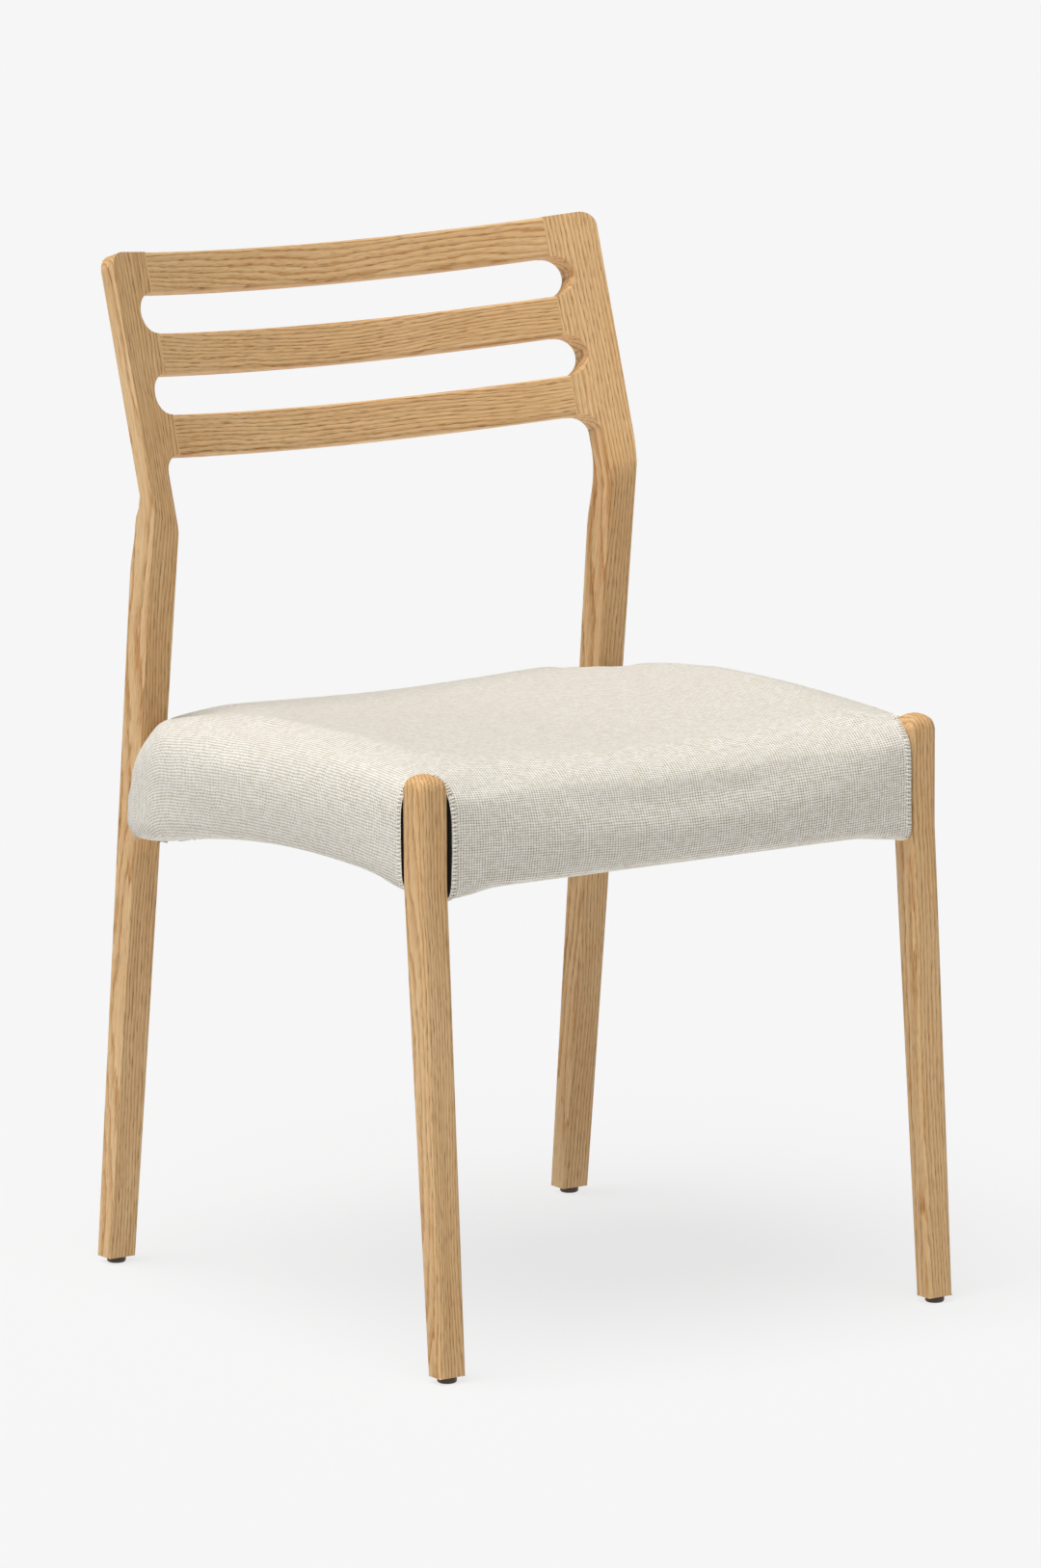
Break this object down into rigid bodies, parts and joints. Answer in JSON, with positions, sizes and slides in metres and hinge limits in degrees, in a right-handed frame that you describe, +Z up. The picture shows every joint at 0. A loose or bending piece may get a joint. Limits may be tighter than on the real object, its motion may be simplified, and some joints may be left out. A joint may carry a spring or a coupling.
{
  "type": "dining chair",
  "caption": "Armless oak dining chair with a curved slatted back, tapered legs, raised front leg tops and a padded, woven-fabric saddle seat on a hidden rail frame.",
  "frame": {"origin": "on the floor, under the centre of the chair's box", "axes": "+Z up, -Y towards the front of the seat, +X to the right of someone facing the chair's front"},
  "size_m": [0.483, 0.5258, 0.8033],
  "materials": {
    "oak": "clear matt lacquer",
    "frame_wood": "bare planed beech",
    "plywood": "bare sanded birch ply",
    "foam": "cut polyurethane foam",
    "seat_cloth": "coarse plain weave, off-white",
    "lining": "black non-woven lining",
    "steel": "zinc plated",
    "glide": "dark brown moulded"
  },
  "bodies": {
    "root": {"rear_leg_left": "oak", "rear_leg_right": "oak", "front_leg_left": "oak", "front_leg_right": "oak", "top_slat": "oak", "middle_slat": "oak", "lower_slat": "oak", "slat_dowels": "frame_wood", "front_rail": "frame_wood", "rear_rail": "frame_wood", "side_rail_left": "frame_wood", "side_rail_right": "frame_wood", "rail_dowels": "frame_wood", "corner_block_front_left": "frame_wood", "corner_block_front_right": "frame_wood", "corner_block_rear_left": "frame_wood", "corner_block_rear_right": "frame_wood", "corner_block_screws": "steel", "seat_panel": "plywood", "seat_screws": "steel", "seat_foam": "foam", "seat_cover": "seat_cloth", "cover_staples": "steel", "dust_cover": "lining", "glide_front_left": "glide", "glide_front_right": "glide", "glide_rear_left": "glide", "glide_rear_right": "glide", "glide_nails": "steel"}
  },
  "joints": []
}
